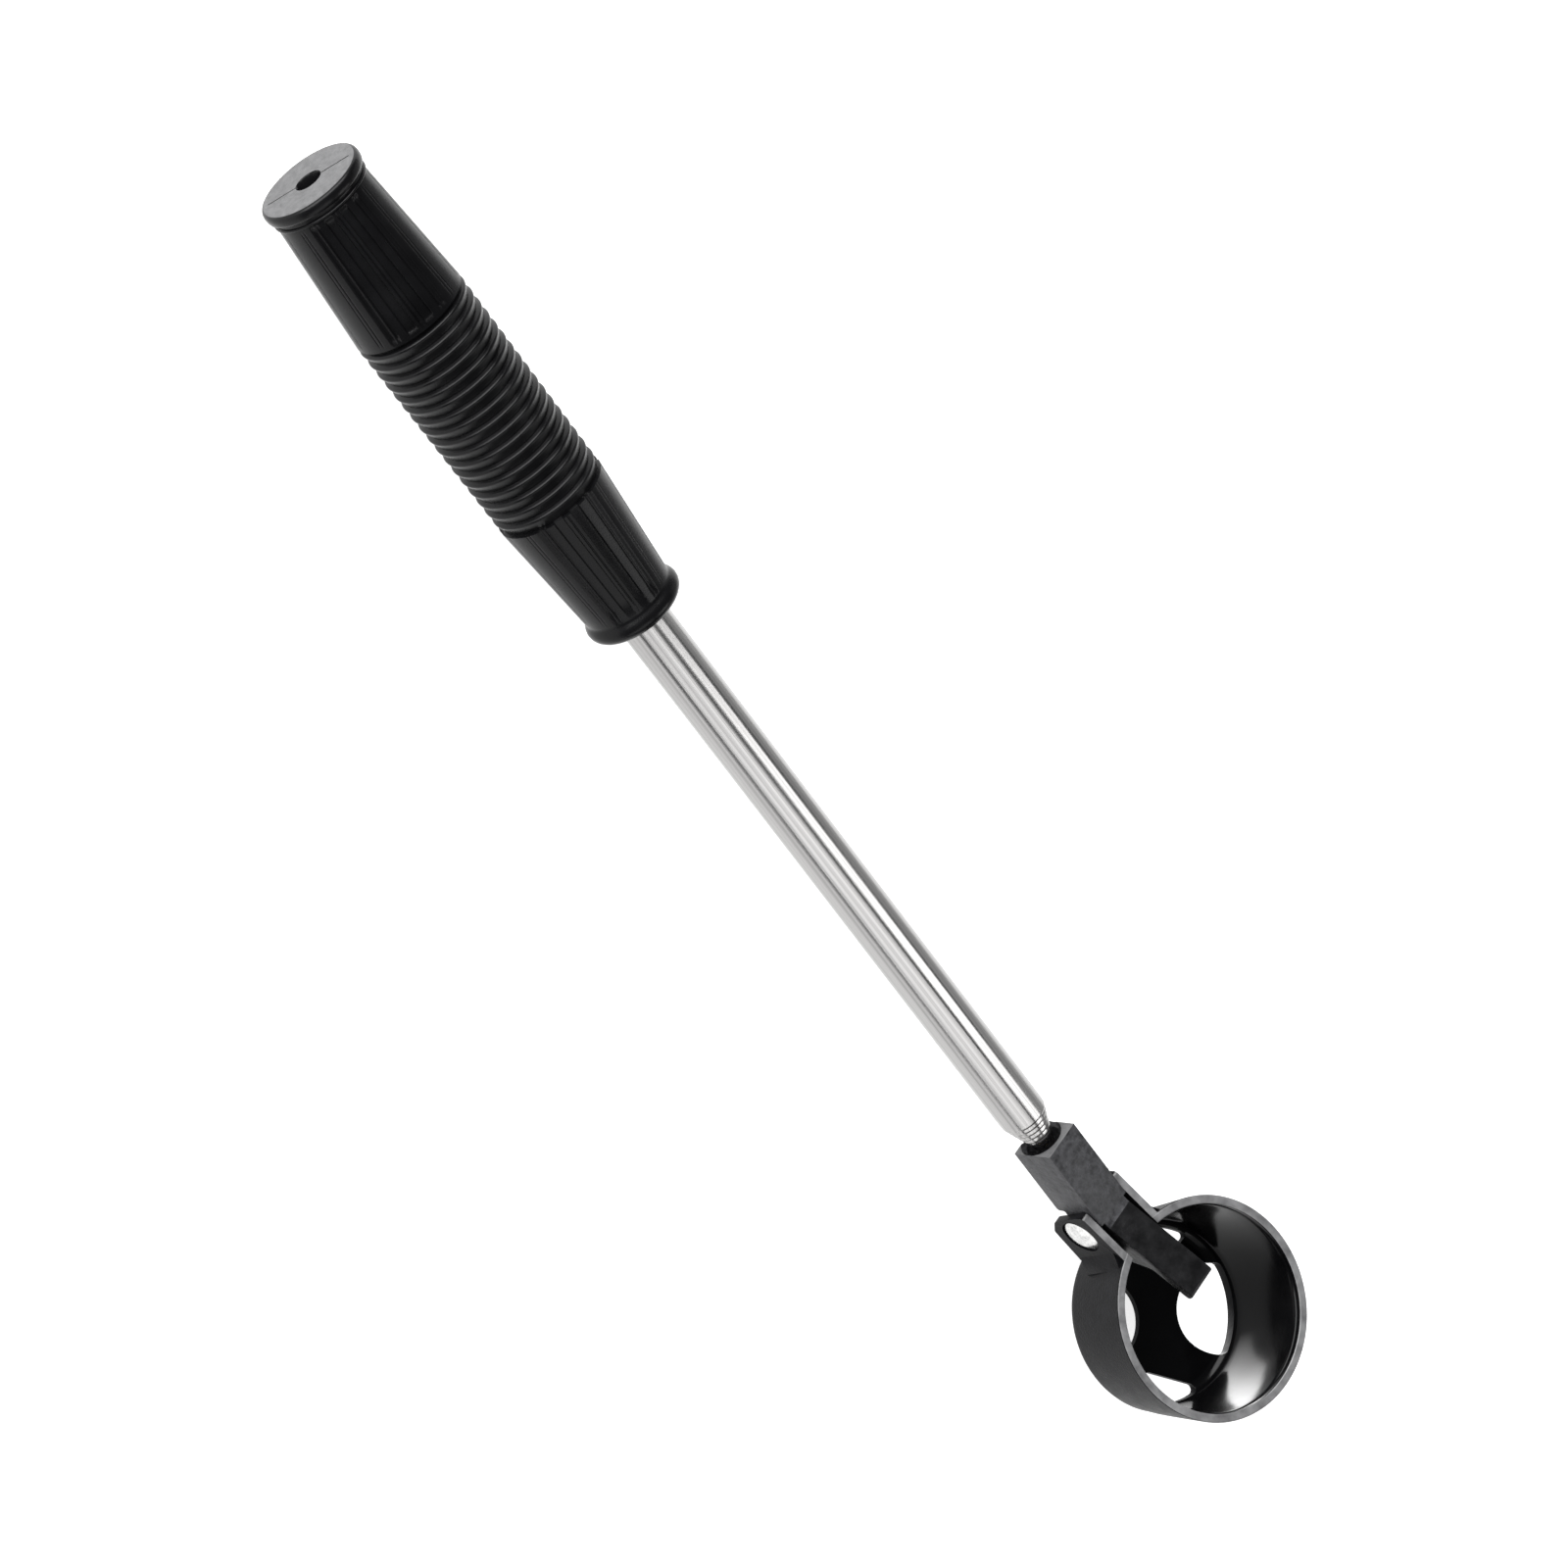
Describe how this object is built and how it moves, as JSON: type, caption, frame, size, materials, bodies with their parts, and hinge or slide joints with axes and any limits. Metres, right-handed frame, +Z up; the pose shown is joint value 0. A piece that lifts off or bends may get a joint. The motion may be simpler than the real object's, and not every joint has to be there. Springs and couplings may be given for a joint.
{
  "type": "golf ball retriever",
  "caption": "Telescopic golf ball retriever: ribbed grip, nested steel sections, and a bent arm with a sprung ring cup that holds the ball.",
  "frame": {"origin": "under the middle of the closed tool, on the ground plane", "axes": "+X along the shaft from the butt to the ring cup, +Z up out of the ring's mouth, +Y across the rivet"},
  "size_m": [0.359, 0.05, 0.0344],
  "materials": {
    "grip_rubber": "satin black moulded",
    "stainless_steel": "drawn, lightly brushed",
    "polished_steel": "bright",
    "spring_steel": "plain wire",
    "brass": "plain",
    "nylon": "natural",
    "charcoal_plastic": "fine texture",
    "black_plastic": "satin outside, glossy inside"
  },
  "bodies": {
    "handle": {"grip": "grip_rubber", "tube_1": "stainless_steel", "tube_plug": "nylon"},
    "section_2": {"tube_2": "stainless_steel", "collar_2": "brass"},
    "section_3": {"tube_3": "stainless_steel", "collar_3": "brass"},
    "section_4": {"tube_4": "stainless_steel", "collar_4": "brass"},
    "section_5": {"tube_5": "stainless_steel", "collar_5": "brass"},
    "section_6": {"tube_6": "stainless_steel", "collar_6": "brass"},
    "section_7": {"tube_7": "stainless_steel", "collar_7": "brass"},
    "head": {"rod_8": "stainless_steel", "collar_8": "brass", "rod_bush": "brass", "socket_arm": "charcoal_plastic", "torsion_spring": "spring_steel"},
    "ring": {"ring_cup": "black_plastic", "pivot_rivet": "polished_steel", "rivet_washer": "polished_steel"}
  },
  "joints": [
    {"name": "slide_2", "type": "slide", "parent": "handle", "child": "section_2", "axis": [1, 0, 0], "range_m": [0, 0.251]},
    {"name": "slide_3", "type": "slide", "parent": "section_2", "child": "section_3", "axis": [1, 0, 0], "range_m": [0, 0.2465]},
    {"name": "slide_4", "type": "slide", "parent": "section_3", "child": "section_4", "axis": [1, 0, 0], "range_m": [0, 0.2425]},
    {"name": "slide_5", "type": "slide", "parent": "section_4", "child": "section_5", "axis": [1, 0, 0], "range_m": [0, 0.238]},
    {"name": "slide_6", "type": "slide", "parent": "section_5", "child": "section_6", "axis": [1, 0, 0], "range_m": [0, 0.234]},
    {"name": "slide_7", "type": "slide", "parent": "section_6", "child": "section_7", "axis": [1, 0, 0], "range_m": [0, 0.2295]},
    {"name": "slide_8", "type": "slide", "parent": "section_7", "child": "head", "axis": [1, 0, 0], "range_m": [0, 0.2255]},
    {"name": "ring_pivot", "type": "hinge", "parent": "head", "child": "ring", "pos_m": [0.12384, 0, 0.01271], "axis": [0, 1, 0], "range_deg": [0, 60], "stiffness_Nm_per_rad": 0.03, "springref_deg": -45.84}
  ]
}
